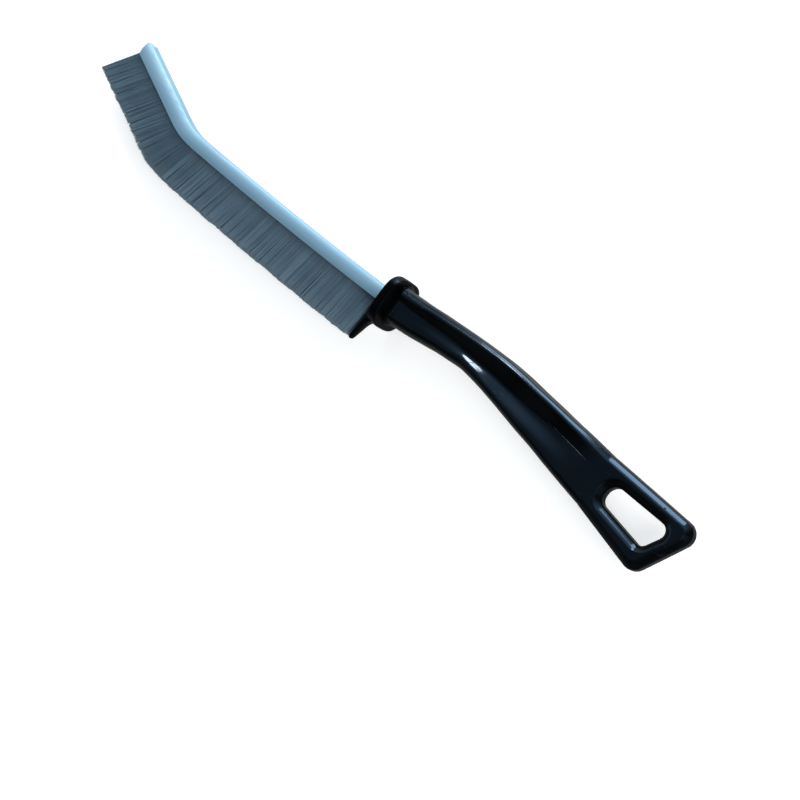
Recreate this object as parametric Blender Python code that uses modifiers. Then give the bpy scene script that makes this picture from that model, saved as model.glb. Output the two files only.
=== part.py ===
"""Crevice brush: a bank of filaments in a bent steel channel, seated in a moulded handle.

Lengths are in metres. While it is modelled, the middle of the channel's section at the collar's
front face is the origin: +X runs to the butt of the handle, +Y to the back of the brush and +Z
to one flat side. At the end everything is shifted, so that the middle of the bottom of the
bounding box is the origin.
"""

import math
import random

import bmesh
import bpy
from mathutils import Matrix, Vector

# Steel channel. Its outer width and height set the scale of the whole brush
CHANNEL_WIDTH = 0.0040
CHANNEL_WALL_THICKNESS = 0.0004
CHANNEL_CORNER_RADIUS = 0.0006
CHANNEL_INNER_RADIUS = 0.00025
LIP_DRAW_WIDTH = 0.0002
LIP_DRAW_HEIGHT = 0.0013
SEATED_LENGTH = 0.0200
STRAIGHT_LENGTH = 0.0787
BEND_ARC_LENGTH = 0.0099
TIP_LENGTH = 0.0282
SHEAR_SIZE = 0.0120
SHEAR_SETBACK_LENGTH = 0.0029
BOW_ANGLE = math.radians(2.7)
BEND_ANGLE = math.radians(20)
SHEAR_SIDE_ANGLE = math.radians(27)
SHEAR_BACK_ANGLE = math.radians(20)

# Wire inside the channel, which the filaments are folded round
WIRE_DIAMETER = 0.0008
WIRE_HEIGHT = 0.0001
WIRE_END_GAP = 0.0010

# Filaments
FIT_GAP = 0.0003
BORE_DIAMETER = 0.0014
ROOT_MOUTH_WIDTH = 0.0022
BRISTLE_LENGTH = 0.0125
COLUMN_PITCH = 0.00073
FIRST_STRAND_GAP = 0.0031
ROOT_SETBACK_LENGTH = 0.0021
RAGGED_LENGTH = 0.0004
SPLAY_WIDTH = 0.0008
ROWS = 3
STRAND_ROOT_SHARE = 0.84
STRAND_END_SHARE = 0.72
LEAN_AT_COLLAR = math.radians(6)
LEAN_AT_TIP = math.radians(17)
SLICE_SHARES = (
    ("bristles_collar", 0.0, 0.25),
    ("bristles_middle", 0.25, 0.5),
    ("bristles_front", 0.5, 0.73),
    ("bristles_bend", 0.73, 0.84),
    ("bristles_tip", 0.84, 1.0),
)

# Collar
COLLAR_THICKNESS = 0.0024
COLLAR_HALF_HEIGHT = 0.0071
COLLAR_HALF_WIDTH = 0.0071
COLLAR_DROP_HEIGHT = 0.0007
COLLAR_EDGE_RADIUS = 0.0004
COLLAR_SQUARENESS = 3.2

# Fin in front of the collar
FIN_TOP_GAP = 0.0023
FIN_DEPTH = 0.0120
FIN_FORWARD_LENGTH = 0.0035

# Grip and neck
HANDLE_LENGTH = 0.1050
GRIP_HALF_THICKNESS = 0.0045
BACK_RIM_WIDTH = 0.0012
FRONT_RIM_WIDTH = 0.0019
CREST_WIDTH = 0.0003
CREASE_WIDTH = 0.0005

# Butt and hanging hole
BUTT_THICKNESS = 0.0055
BUTT_EDGE_RADIUS = 0.0013
BUTT_CORNER_RADIUS = 0.0034
BUTT_START_RADIUS = 0.0018
HOLE_CORNER_RADIUS = 0.0021
ARC_STEP_ANGLE = math.radians(15)

# Sections of the neck and grip. Each row is: position along the handle, back edge, front edge,
# half thickness, flute depth, front crest as a share of the half thickness, crease of the flute.
# The position is a share of HANDLE_LENGTH, and the crest of the row's own half thickness. The
# others are shares of GRIP_HALF_THICKNESS
GRIP_SHARES = (
    (0.0114, 1.080, -1.185, 0.944, 0.067, 0.95, 0.29),
    (0.0476, 1.125, -1.130, 0.956, 0.111, 0.93, 0.28),
    (0.0952, 1.160, -1.055, 0.978, 0.178, 0.90, 0.28),
    (0.1429, 1.240, -0.925, 1.000, 0.244, 0.87, 0.33),
    (0.1905, 1.290, -0.789, 1.000, 0.289, 0.84, 0.35),
    (0.2286, 1.330, -0.730, 1.000, 0.311, 0.82, 0.34),
    (0.2667, 1.360, -0.680, 1.000, 0.333, 0.82, 0.31),
    (0.2952, 1.375, -0.735, 1.000, 0.356, 0.84, 0.27),
    (0.3238, 1.375, -0.820, 1.000, 0.378, 0.85, 0.22),
    (0.3619, 1.375, -0.965, 1.000, 0.400, 0.86, 0.15),
    (0.4190, 1.300, -1.220, 1.000, 0.422, 0.86, 0.03),
    (0.4762, 1.160, -1.490, 0.989, 0.422, 0.86, -0.07),
    (0.5333, 1.040, -1.730, 0.956, 0.400, 0.87, -0.11),
    (0.5905, 0.900, -2.015, 0.889, 0.333, 0.89, -0.18),
    (0.6381, 0.810, -2.240, 0.815, 0.215, 0.93, -0.31),
    (0.6762, 0.725, -2.410, 0.740, 0.100, 0.96, -0.42),
    (0.7048, 0.660, -2.535, 0.670, 0.030, 0.98, -0.49),
    (0.7238, 0.622, -2.615, 0.632, 0.000, 1.00, -0.52),
    (0.7400, 0.545, -2.640, 0.545, 0.000, 1.00, -0.53),
)

# Corners of the butt, as shares of HANDLE_LENGTH along and of GRIP_HALF_THICKNESS across.
# The two edge rows are where the plate meets the grip's outline, and its start inside the grip
BUTT_INSET_SHARE = 0.09
BUTT_EDGE_SHARES = ((0.7238, 0.622, -2.615), (0.6905, 0.694, -2.470))
BUTT_BACK_CORNER_SHARES = (1.0045, 0.210)
BUTT_FRONT_CORNER_SHARES = (0.9150, -3.705)
HOLE_SHARES = (
    (0.7543, -0.470),
    (0.9400, -0.640),
    (0.9010, -2.400),
    (0.7543, -1.690),
)

# Middle of the flat side beside the hanging hole, as shares like those of the corners
SIDE_FACE_SHARES = (0.8760, -2.860)

# Clear boxes through the hanging hole, as shares: start, end, front, back
HOLE_BOX_SHARES = (
    ("hanging_hole", 0.7765, 0.9040, -1.760, -0.655),
    ("hanging_hole_wide_end", 0.8380, 0.8950, -2.060, -0.800),
)
HOLE_BOX_GAP = 0.0015

# Profile of the fin, from the collar down: depth, front face, rear face as shares of FIN_DEPTH
# and FIN_FORWARD_LENGTH, and half width as a share of CHANNEL_WIDTH
FIN_SHARES = (
    (0.0, 0.657, -0.20, 0.425),
    (0.40, 0.743, -0.15, 0.385),
    (0.45, 0.757, 0.250, 0.370),
    (0.53, 0.800, 0.450, 0.335),
    (0.75, 0.886, 0.600, 0.270),
    (1.0, 0.971, 0.800, 0.130),
)


def reset_scene():
    """Empties the startup scene and makes the two collections."""
    for old in list(bpy.data.objects):
        bpy.data.objects.remove(old)
    for name in ("crevice_brush", "cutters"):
        made = bpy.data.collections.new(name)
        bpy.context.scene.collection.children.link(made)
    bpy.data.collections["cutters"].hide_render = True


def add_object(name, data, collection="crevice_brush"):
    """Links new data to the scene as an object."""
    obj = bpy.data.objects.new(name, data)
    bpy.data.collections[collection].objects.link(obj)
    if collection == "cutters":
        obj.hide_render = True
        obj.display_type = "WIRE"
    return obj


def made_material(name, colour, roughness, metallic):
    """A Principled material of one colour."""
    material = bpy.data.materials.new(name)
    material.use_nodes = True
    shader = material.node_tree.nodes["Principled BSDF"]
    shader.inputs["Base Color"].default_value = (*colour, 1)
    shader.inputs["Roughness"].default_value = roughness
    shader.inputs["Metallic"].default_value = metallic
    return material


def settled_mesh(obj):
    """The object's mesh with all its modifiers, in world space."""
    bpy.context.view_layer.update()
    graph = bpy.context.evaluated_depsgraph_get()
    mesh = bpy.data.meshes.new_from_object(obj.evaluated_get(graph), depsgraph=graph)
    mesh.transform(obj.matrix_world)
    return mesh


def curve_to_mesh(obj, weld):
    """Swaps a curve object for a mesh object of the same name and place."""
    name = obj.name
    holder = obj.users_collection[0].name
    mesh = settled_mesh(obj)
    bpy.data.objects.remove(obj)
    work = bmesh.new()
    work.from_mesh(mesh)
    bmesh.ops.remove_doubles(work, verts=work.verts, dist=weld)
    bmesh.ops.recalc_face_normals(work, faces=work.faces)
    work.to_mesh(mesh)
    work.free()
    return add_object(name, mesh, holder)


def add_boolean(obj, other, operation):
    """Joins a helper to an object, or cuts it out."""
    step = obj.modifiers.new(other.name, "BOOLEAN")
    step.operation = operation
    step.solver = "EXACT"
    step.object = other


def round_flat_curve(curve, thickness, rounding):
    """Gives a filled flat curve its thickness and round edges that keep inside its outline."""
    curve.extrude = thickness / 2 - rounding
    curve.bevel_depth = rounding
    curve.bevel_resolution = 2
    curve.offset = -rounding


def finish_piece(obj, material, smooth_angle):
    """Settles the modifiers, then sets the material and the shading."""
    mesh = settled_mesh(obj)
    obj.modifiers.clear()
    obj.data = mesh
    obj.matrix_world = Matrix.Identity(4)
    mesh.materials.clear()
    mesh.materials.append(material)
    mesh.shade_smooth()
    mesh.set_sharp_from_angle(angle=smooth_angle)


# The line of the channel


def line_frame(distance):
    """Point, direction and back direction at a distance from the collar towards the tip."""
    straight = min(distance, STRAIGHT_LENGTH)
    steps = 24
    point = Vector((0, 0, 0))
    if distance <= 0:
        return Vector((-distance, 0, 0)), Vector((-1, 0, 0)), Vector((0, 1, 0))
    for step in range(steps):
        turn = BOW_ANGLE * (step + 0.5) / steps * straight / STRAIGHT_LENGTH
        point += Vector((-math.cos(turn), math.sin(turn), 0)) * straight / steps
    turn = BOW_ANGLE * straight / STRAIGHT_LENGTH
    bend = min(max(distance - STRAIGHT_LENGTH, 0), BEND_ARC_LENGTH)
    for step in range(steps):
        part_turn = turn + BEND_ANGLE * (step + 0.5) / steps * bend / BEND_ARC_LENGTH
        point += Vector((-math.cos(part_turn), math.sin(part_turn), 0)) * bend / steps
    turn += BEND_ANGLE * bend / BEND_ARC_LENGTH
    ahead = Vector((-math.cos(turn), math.sin(turn), 0))
    point += ahead * max(distance - STRAIGHT_LENGTH - BEND_ARC_LENGTH, 0)
    return point, ahead, Vector((math.sin(turn), math.cos(turn), 0))


def line_stops(start, end):
    """Distances along the line, close together in the bend and apart where it is nearly straight."""
    bend_end = STRAIGHT_LENGTH + BEND_ARC_LENGTH
    stops = [start, 0]
    stops += [STRAIGHT_LENGTH * step / 6 for step in range(1, 7)]
    stops += [STRAIGHT_LENGTH + BEND_ARC_LENGTH * step / 8 for step in range(1, 9)]
    stops += [bend_end + (end - bend_end) / 2, end]
    return stops


def path_curve(name, start, end, height, collection):
    """A straight-segment curve along the line, at a height over the channel's middle."""
    curve = bpy.data.curves.new(name, "CURVE")
    curve.dimensions = "3D"
    curve.twist_mode = "Z_UP"
    curve.use_fill_caps = True
    stops = line_stops(start, end)
    spline = curve.splines.new("POLY")
    spline.points.add(len(stops) - 1)
    for point, stop in zip(spline.points, stops):
        place, _, back = line_frame(stop)
        point.co = (*(place + back * height), 1)
    return add_object(name, curve, collection)


def flat_curve(name, outlines, collection):
    """A filled flat curve from closed outlines. An outline inside another is a hole."""
    curve = bpy.data.curves.new(name, "CURVE")
    curve.dimensions = "2D"
    curve.fill_mode = "BOTH"
    for outline in outlines:
        spline = curve.splines.new("POLY")
        spline.points.add(len(outline) - 1)
        for point, (across, along) in zip(spline.points, outline):
            point.co = (across, along, 0, 1)
        spline.use_cyclic_u = True
    return add_object(name, curve, collection)


def rounded_outline(corners, radii):
    """The corners of a polygon, each replaced by an arc that touches both of its sides."""
    outline = []
    count = len(corners)
    for index, (corner, radius) in enumerate(zip(corners, radii)):
        here = Vector(corner)
        before = (Vector(corners[index - 1]) - here).normalized()
        after = (Vector(corners[(index + 1) % count]) - here).normalized()
        half = before.angle(after) / 2
        centre = here + (before + after).normalized() * radius / math.sin(half)
        start = here + before * radius / math.tan(half) - centre
        sweep = math.pi - 2 * half
        turn = -1 if before.cross(after) > 0 else 1
        segments = max(1, round(sweep / ARC_STEP_ANGLE))
        for step in range(segments + 1):
            angle = turn * sweep * step / segments
            outline.append(tuple(centre + Matrix.Rotation(angle, 2) @ start))
    return outline


# Channel and wire


def channel_outline():
    """The folded section as the sweep lays it out: up from the middle, then across."""
    half = CHANNEL_WIDTH / 2
    inner = half - CHANNEL_WALL_THICKNESS
    waist = LIP_DRAW_HEIGHT - half
    outer_side = [(half - LIP_DRAW_WIDTH, -half), (half, waist)]
    for step in range(4):
        angle = math.pi / 2 * step / 3
        over = half - CHANNEL_CORNER_RADIUS + CHANNEL_CORNER_RADIUS * math.cos(angle)
        up = half - CHANNEL_CORNER_RADIUS + CHANNEL_CORNER_RADIUS * math.sin(angle)
        outer_side.append((over, up))
    inner_side = [(inner - LIP_DRAW_WIDTH, -half), (inner, waist)]
    for step in range(3):
        angle = math.pi / 2 * step / 2
        over = inner - CHANNEL_INNER_RADIUS + CHANNEL_INNER_RADIUS * math.cos(angle)
        up = inner - CHANNEL_INNER_RADIUS + CHANNEL_INNER_RADIUS * math.sin(angle)
        inner_side.append((over, up))
    outline = outer_side + [(-over, up) for over, up in reversed(outer_side)]
    outline += [(-over, up) for over, up in inner_side]
    outline += list(reversed(inner_side))
    return [(up, over) for over, up in outline]


def shear_cutter():
    """A block whose slanted face trims the free end of the channel."""
    bpy.ops.mesh.primitive_cube_add(size=SHEAR_SIZE)
    block = bpy.context.object
    block.name = "shear_cutter"
    for holder in list(block.users_collection):
        holder.objects.unlink(block)
    bpy.data.collections["cutters"].objects.link(block)
    block.hide_render = True
    block.display_type = "WIRE"
    end = STRAIGHT_LENGTH + BEND_ARC_LENGTH + TIP_LENGTH
    place, ahead, back = line_frame(end - SHEAR_SETBACK_LENGTH)
    axes = Matrix((ahead, back, Vector((0, 0, 1)))).transposed().to_4x4()
    slant = Matrix.Rotation(SHEAR_SIDE_ANGLE, 4, "Y") @ Matrix.Rotation(-SHEAR_BACK_ANGLE, 4, "Z")
    shift = Matrix.Translation(Vector((SHEAR_SIZE / 2, 0, 0)))
    block.matrix_world = Matrix.Translation(place) @ axes @ slant @ shift
    return block


def make_channel(material):
    """The folded strip, swept along the line and sheared off at its free end."""
    end = STRAIGHT_LENGTH + BEND_ARC_LENGTH + TIP_LENGTH
    profile = flat_curve("channel_profile", [channel_outline()], "cutters")
    path = path_curve("channel", -SEATED_LENGTH, end, 0, "crevice_brush")
    path.data.bevel_mode = "OBJECT"
    path.data.bevel_object = profile
    channel = curve_to_mesh(path, CHANNEL_WALL_THICKNESS / 1000)
    add_boolean(channel, shear_cutter(), "DIFFERENCE")
    finish_piece(channel, material, math.radians(40))


def make_wire(material):
    """The wire, which ends short of both ends of the channel."""
    end = STRAIGHT_LENGTH + BEND_ARC_LENGTH + TIP_LENGTH - SHEAR_SETBACK_LENGTH * 2 - WIRE_END_GAP
    start = -SEATED_LENGTH + WIRE_END_GAP
    path = path_curve("core_wire", start, end, WIRE_HEIGHT, "crevice_brush")
    path.data.bevel_depth = WIRE_DIAMETER / 2
    path.data.bevel_resolution = 2
    wire = curve_to_mesh(path, WIRE_DIAMETER / 1000)
    finish_piece(wire, material, math.radians(50))


# Filaments


def root_outline():
    """Section of the folded roots inside the channel, with the mouth first: across, up."""
    half = CHANNEL_WIDTH / 2
    side = half - CHANNEL_WALL_THICKNESS - FIT_GAP
    mouth = ROOT_MOUTH_WIDTH / 2
    low = LIP_DRAW_WIDTH - half
    waist = LIP_DRAW_HEIGHT - half
    outline = [(mouth - ROOT_MOUTH_WIDTH * row / ROWS, low) for row in range(ROWS + 1)]
    outline += [(-side, waist), (-side, side), (side, side), (side, waist)]
    return outline


def strand_direction(share, row, ahead, back, shift):
    """Direction of a strand: away from the channel, leaning to the tip and spreading sideways."""
    lean = LEAN_AT_COLLAR + (LEAN_AT_TIP - LEAN_AT_COLLAR) * share
    side = SPLAY_WIDTH / BRISTLE_LENGTH * ((1 - row) * 2 / (ROWS - 1) + shift * 0.3)
    return -back + ahead * math.tan(lean) + Vector((0, 0, side))


def make_slice(name, first_stop, last_stop, span, start, chance, bore, material):
    """One slice: the roots in the channel, and strands pulled out of the faces at the mouth."""
    count = round((last_stop - first_stop) / COLUMN_PITCH)
    outline = root_outline()
    work = bmesh.new()
    rings = []
    for index in range(count + 1):
        stop = first_stop + (last_stop - first_stop) * index / count
        place, _, back = line_frame(stop)
        rings.append(
            [work.verts.new(place + back * up + Vector((0, 0, over))) for over, up in outline]
        )
    mouths = []
    for index in range(count):
        near, far = rings[index], rings[index + 1]
        stop = first_stop + (last_stop - first_stop) * (index + 0.5) / count
        for side in range(len(outline)):
            after = (side + 1) % len(outline)
            face = work.faces.new((near[side], near[after], far[after], far[side]))
            if side < ROWS and stop > start:
                mouths.append((face, stop, side))
    work.faces.new(list(reversed(rings[0])))
    work.faces.new(rings[-1])
    inset = COLUMN_PITCH * (1 - STRAND_ROOT_SHARE) / 2
    bmesh.ops.inset_individual(work, faces=[item[0] for item in mouths], thickness=inset)
    for face, stop, row in mouths:
        _, ahead, back = line_frame(stop)
        share = (stop - start) / span
        length = BRISTLE_LENGTH - RAGGED_LENGTH * chance.random()
        direction = strand_direction(share, row, ahead, back, chance.uniform(-1, 1))
        pulled = bmesh.ops.extrude_discrete_faces(work, faces=[face])["faces"][0]
        middle = pulled.calc_center_median()
        for vert in pulled.verts:
            vert.co = middle + (vert.co - middle) * STRAND_END_SHARE / STRAND_ROOT_SHARE
            vert.co += direction * length
    bmesh.ops.recalc_face_normals(work, faces=work.faces)
    mesh = bpy.data.meshes.new(name)
    work.to_mesh(mesh)
    work.free()
    piece = add_object(name, mesh)
    add_boolean(piece, bore, "DIFFERENCE")
    finish_piece(piece, material, math.radians(30))


def make_bristles(material):
    """All slices, with a gap between neighbours and a bore for the wire."""
    end = STRAIGHT_LENGTH + BEND_ARC_LENGTH + TIP_LENGTH - ROOT_SETBACK_LENGTH
    bore = path_curve("wire_bore", -WIRE_END_GAP, end + WIRE_END_GAP, WIRE_HEIGHT, "cutters")
    bore.data.bevel_depth = BORE_DIAMETER / 2
    bore.data.bevel_resolution = 1
    bore = curve_to_mesh(bore, BORE_DIAMETER / 1000)
    chance = random.Random(7)
    span = end - FIT_GAP
    for name, low_share, high_share in SLICE_SHARES:
        first_stop = FIT_GAP + span * low_share + FIT_GAP / 2
        last_stop = FIT_GAP + span * high_share - FIT_GAP / 2
        make_slice(
            name, first_stop, last_stop, span, FIRST_STRAND_GAP, chance, bore, material
        )


# Handle


def grip_ring(row):
    """Half of one section of the grip, from the back edge round one side to the front edge."""
    along, back, front, half, depth, crest, crease = row
    station = along * HANDLE_LENGTH
    top = half * GRIP_HALF_THICKNESS
    back_edge = back * GRIP_HALF_THICKNESS
    front_edge = front * GRIP_HALF_THICKNESS
    floor = top - depth * GRIP_HALF_THICKNESS
    crest_top = top * crest
    crease_line = crease * GRIP_HALF_THICKNESS
    points = []
    for step in range(7):
        angle = math.pi / 2 * step / 6
        points.append((back_edge - BACK_RIM_WIDTH * (1 - math.cos(angle)), top * math.sin(angle)))
    rim = back_edge - BACK_RIM_WIDTH - CREST_WIDTH
    fall = top - floor
    rise = crest_top - floor
    front_rim = front_edge + FRONT_RIM_WIDTH
    points.append((rim, top - fall * 0.06))
    points.append((rim + (crease_line - rim) * 0.35, top - fall * 0.45))
    points.append((rim + (crease_line - rim) * 0.7, top - fall * 0.82))
    points.append((crease_line + CREASE_WIDTH / 2, floor))
    width = crease_line - front_rim
    points.append((crease_line - CREASE_WIDTH / 2, floor))
    for share, height_share in ((0.3, 0.12), (0.55, 0.35), (0.78, 0.67)):
        points.append((crease_line - width * share, floor + rise * height_share))
    for step in range(7):
        angle = math.pi / 2 * (1 - step / 6)
        points.append((front_edge + FRONT_RIM_WIDTH * (1 - math.cos(angle)), crest_top * math.sin(angle)))
    return [Vector((station, across, max(up, 0))) for across, up in points]


def make_grip():
    """Half of the neck and grip lofted through its sections, then mirrored."""
    work = bmesh.new()
    rings = [[work.verts.new(place) for place in grip_ring(row)] for row in GRIP_SHARES]
    for near, far in zip(rings, rings[1:]):
        for side in range(len(near) - 1):
            work.faces.new((near[side], near[side + 1], far[side + 1], far[side]))
    work.faces.new(list(reversed(rings[0])))
    work.faces.new(rings[-1])
    bmesh.ops.recalc_face_normals(work, faces=work.faces)
    mesh = bpy.data.meshes.new("handle")
    work.to_mesh(mesh)
    work.free()
    grip = add_object("handle", mesh)
    mirror = grip.modifiers.new("other side", "MIRROR")
    mirror.use_axis = (False, False, True)
    mirror.merge_threshold = CREST_WIDTH / 100
    return grip


def make_butt():
    """The flat end of the handle with its hanging hole, as a rounded plate."""
    (edge, edge_back, edge_front), (start, start_back, start_front) = BUTT_EDGE_SHARES
    outer = [
        (start, start_back - BUTT_INSET_SHARE),
        (edge, edge_back),
        BUTT_BACK_CORNER_SHARES,
        BUTT_FRONT_CORNER_SHARES,
        (edge, edge_front),
        (start, start_front + BUTT_INSET_SHARE),
    ]
    corners = [(along * HANDLE_LENGTH, across * GRIP_HALF_THICKNESS) for along, across in outer]
    small = BUTT_START_RADIUS
    radii = (small, small, BUTT_CORNER_RADIUS, BUTT_CORNER_RADIUS, small, small)
    hole = [(along * HANDLE_LENGTH, across * GRIP_HALF_THICKNESS) for along, across in HOLE_SHARES]
    outlines = [rounded_outline(corners, radii), rounded_outline(hole, [HOLE_CORNER_RADIUS] * 4)]
    plate = flat_curve("butt_plate", outlines, "cutters")
    round_flat_curve(plate.data, BUTT_THICKNESS, BUTT_EDGE_RADIUS)
    return curve_to_mesh(plate, BUTT_THICKNESS / 10000)


def make_collar():
    """The oval collar that the channel enters."""
    outline = []
    for step in range(40):
        angle = 2 * math.pi * step / 40
        power = 2 / COLLAR_SQUARENESS
        over = math.copysign(abs(math.cos(angle)) ** power, math.cos(angle))
        up = math.copysign(abs(math.sin(angle)) ** power, math.sin(angle))
        outline.append((over * COLLAR_HALF_WIDTH, up * COLLAR_HALF_HEIGHT))
    collar = flat_curve("collar_disc", [outline], "cutters")
    round_flat_curve(collar.data, COLLAR_THICKNESS, COLLAR_EDGE_RADIUS)
    across = Matrix(((0, 0, 1), (0, 1, 0), (-1, 0, 0))).to_4x4()
    middle = Vector((COLLAR_THICKNESS / 2, -COLLAR_DROP_HEIGHT, 0))
    collar.matrix_world = Matrix.Translation(middle) @ across
    return curve_to_mesh(collar, COLLAR_THICKNESS / 10000)


def make_fin():
    """The tongue in front of the collar, which shields the last filaments."""
    work = bmesh.new()
    rings = []
    for depth, front, rear, half in FIN_SHARES:
        down = -FIN_TOP_GAP - depth * FIN_DEPTH
        ahead = -front * FIN_FORWARD_LENGTH
        behind = -rear * FIN_FORWARD_LENGTH
        wide = half * CHANNEL_WIDTH
        shape = (
            (behind, wide),
            (ahead + (behind - ahead) * 0.25, wide),
            (ahead, wide * 0.72),
            (ahead, -wide * 0.72),
            (ahead + (behind - ahead) * 0.25, -wide),
            (behind, -wide),
        )
        rings.append([work.verts.new((along, down, over)) for along, over in shape])
    for near, far in zip(rings, rings[1:]):
        for side in range(len(near)):
            after = (side + 1) % len(near)
            work.faces.new((near[side], near[after], far[after], far[side]))
    work.faces.new(list(reversed(rings[0])))
    work.faces.new(rings[-1])
    bmesh.ops.recalc_face_normals(work, faces=work.faces)
    mesh = bpy.data.meshes.new("fin_tongue")
    work.to_mesh(mesh)
    work.free()
    return add_object("fin_tongue", mesh, "cutters")


def make_socket():
    """The square hole that the channel is seated in, open at the collar's front face."""
    side = CHANNEL_WIDTH + 2 * FIT_GAP
    length = SEATED_LENGTH + FIT_GAP + COLLAR_THICKNESS
    bpy.ops.mesh.primitive_cube_add(size=1)
    block = bpy.context.object
    block.name = "socket_cutter"
    for holder in list(block.users_collection):
        holder.objects.unlink(block)
    bpy.data.collections["cutters"].objects.link(block)
    block.hide_render = True
    block.display_type = "WIRE"
    block.scale = (length, side, side)
    block.location = (length / 2 - COLLAR_THICKNESS, 0, 0)
    return block


def make_handle(material):
    """The moulded handle: grip, butt, collar and fin joined, with the socket cut out."""
    grip = make_grip()
    for joined in (make_butt(), make_collar(), make_fin()):
        add_boolean(grip, joined, "UNION")
    add_boolean(grip, make_socket(), "DIFFERENCE")
    finish_piece(grip, material, math.radians(38))


def print_interfaces(shift):
    """Prints the mounts and the clear boxes in the row's frame."""
    along, across = SIDE_FACE_SHARES
    side = Vector((along * HANDLE_LENGTH, across * GRIP_HALF_THICKNESS, BUTT_THICKNESS / 2)) + shift
    print("butt_side", tuple(round(value, 6) for value in side))
    ends = [
        Vector((along * HANDLE_LENGTH, across * GRIP_HALF_THICKNESS, 0))
        for along, across in HOLE_SHARES
    ]
    seat = (ends[1] + ends[2]) / 2 + shift
    run = (ends[2] - ends[1]).normalized()
    print("hook_seat", tuple(round(value, 6) for value in seat), round(run.y, 6), round(-run.x, 6))
    reach = BUTT_THICKNESS / 2 + HOLE_BOX_GAP
    for name, start, end, front, back in HOLE_BOX_SHARES:
        low = Vector((start * HANDLE_LENGTH, front * GRIP_HALF_THICKNESS, -reach)) + shift
        high = Vector((end * HANDLE_LENGTH, back * GRIP_HALF_THICKNESS, reach)) + shift
        print(name, [round(value, 5) for value in low], [round(value, 5) for value in high])


def place_on_floor():
    """Shifts all pieces, so that the bottom of their bounding box has its middle at the origin."""
    pieces = list(bpy.data.collections["crevice_brush"].objects)
    points = [vert.co for piece in pieces for vert in piece.data.vertices]
    low = Vector([min(point[axis] for point in points) for axis in range(3)])
    high = Vector([max(point[axis] for point in points) for axis in range(3)])
    shift = Vector((-(low.x + high.x) / 2, -(low.y + high.y) / 2, -low.z))
    for piece in pieces:
        piece.data.transform(Matrix.Translation(shift))
    print("shift", tuple(round(value, 6) for value in shift))
    print("size", tuple(round(value, 6) for value in high - low))
    print_interfaces(shift)


def main():
    reset_scene()
    plastic = made_material("black_plastic", (0.012, 0.013, 0.016), 0.25, 0)
    steel = made_material("channel_steel", (0.55, 0.62, 0.68), 0.35, 1)
    wire_steel = made_material("wire_steel", (0.42, 0.43, 0.44), 0.4, 1)
    nylon = made_material("grey_nylon", (0.07, 0.09, 0.11), 0.55, 0)
    make_channel(steel)
    make_wire(wire_steel)
    make_bristles(nylon)
    make_handle(plastic)
    place_on_floor()


main()
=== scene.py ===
# %% [markdown]
# # A crevice brush, piece by piece
#
# The brush is a strip of steel folded into a channel that grips thousands of nylon filaments,
# which are folded round a wire inside it. A moulded plastic handle holds the channel's end. The
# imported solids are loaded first, so that each piece is built in the place that they give. The
# scene's own pieces stand in for all but the wire, because they need finer surfaces than a
# working solid has.

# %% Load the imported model
import math
import random

import bmesh
import bpy
from mathutils import Matrix, Vector


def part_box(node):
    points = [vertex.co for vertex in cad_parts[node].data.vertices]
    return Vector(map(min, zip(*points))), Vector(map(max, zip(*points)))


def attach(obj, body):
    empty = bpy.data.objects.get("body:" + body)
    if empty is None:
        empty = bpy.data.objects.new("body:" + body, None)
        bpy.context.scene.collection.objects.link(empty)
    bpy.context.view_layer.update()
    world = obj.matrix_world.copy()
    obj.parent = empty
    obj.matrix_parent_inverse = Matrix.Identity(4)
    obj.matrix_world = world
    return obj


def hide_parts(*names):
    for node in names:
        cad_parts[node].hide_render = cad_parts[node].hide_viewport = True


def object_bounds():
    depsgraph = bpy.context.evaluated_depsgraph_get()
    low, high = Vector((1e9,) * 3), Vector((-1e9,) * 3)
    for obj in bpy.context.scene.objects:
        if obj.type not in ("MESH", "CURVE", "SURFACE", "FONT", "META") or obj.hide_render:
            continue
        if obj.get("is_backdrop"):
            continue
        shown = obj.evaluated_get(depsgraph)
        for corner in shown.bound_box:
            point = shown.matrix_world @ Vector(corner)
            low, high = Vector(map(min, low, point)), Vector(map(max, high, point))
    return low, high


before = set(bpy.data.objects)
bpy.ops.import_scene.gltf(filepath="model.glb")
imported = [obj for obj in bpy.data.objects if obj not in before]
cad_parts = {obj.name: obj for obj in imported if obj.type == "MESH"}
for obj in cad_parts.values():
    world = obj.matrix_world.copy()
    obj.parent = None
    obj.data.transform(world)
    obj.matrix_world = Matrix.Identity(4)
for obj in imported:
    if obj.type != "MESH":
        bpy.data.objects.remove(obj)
cad_low, cad_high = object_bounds()
print("nodes:", sorted(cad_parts))
print("solid size in mm:", [round(side * 1000, 1) for side in cad_high - cad_low])

# %% [markdown]
# ## Millimetres and the brush's own origin
#
# Small objects are easier to think about in millimetres. Points below are counted from the
# middle of the channel's section at the collar's front face: x runs to the butt of the handle,
# y to the back of the brush and z up. The channel's box shows where that point lies in the
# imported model.

# %% Origin and units
MM = 0.001
CHANNEL_WIDTH = 4.0
SEATED_LENGTH = 20.0

channel_low, channel_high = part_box("channel")
origin = Vector(
    (
        channel_high.x - SEATED_LENGTH * MM,
        channel_low.y + CHANNEL_WIDTH / 2 * MM,
        channel_high.z - CHANNEL_WIDTH / 2 * MM,
    )
)
print("origin in mm:", [round(value / MM, 3) for value in origin])


def place(point):
    """A point in the brush's own millimetres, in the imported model's metres."""
    return origin + Vector(point) * MM

# %% [markdown]
# ## Small tools for shapes
#
# Sections are full of arcs, so two lists of cosines and sines serve them all: once round, as a
# circle or a squared oval, and a quarter of the way. Values that fade from 0 to 1 are cut off at
# both ends, and often eased, so that no change has a kink.

# %% Shape helpers
def clamp(value):
    """The value, kept between 0 and 1."""
    return min(max(value, 0), 1)


def ease(share):
    """A share from 0 to 1 with a soft start and a soft end."""
    return share * share * (3 - 2 * share)


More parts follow.
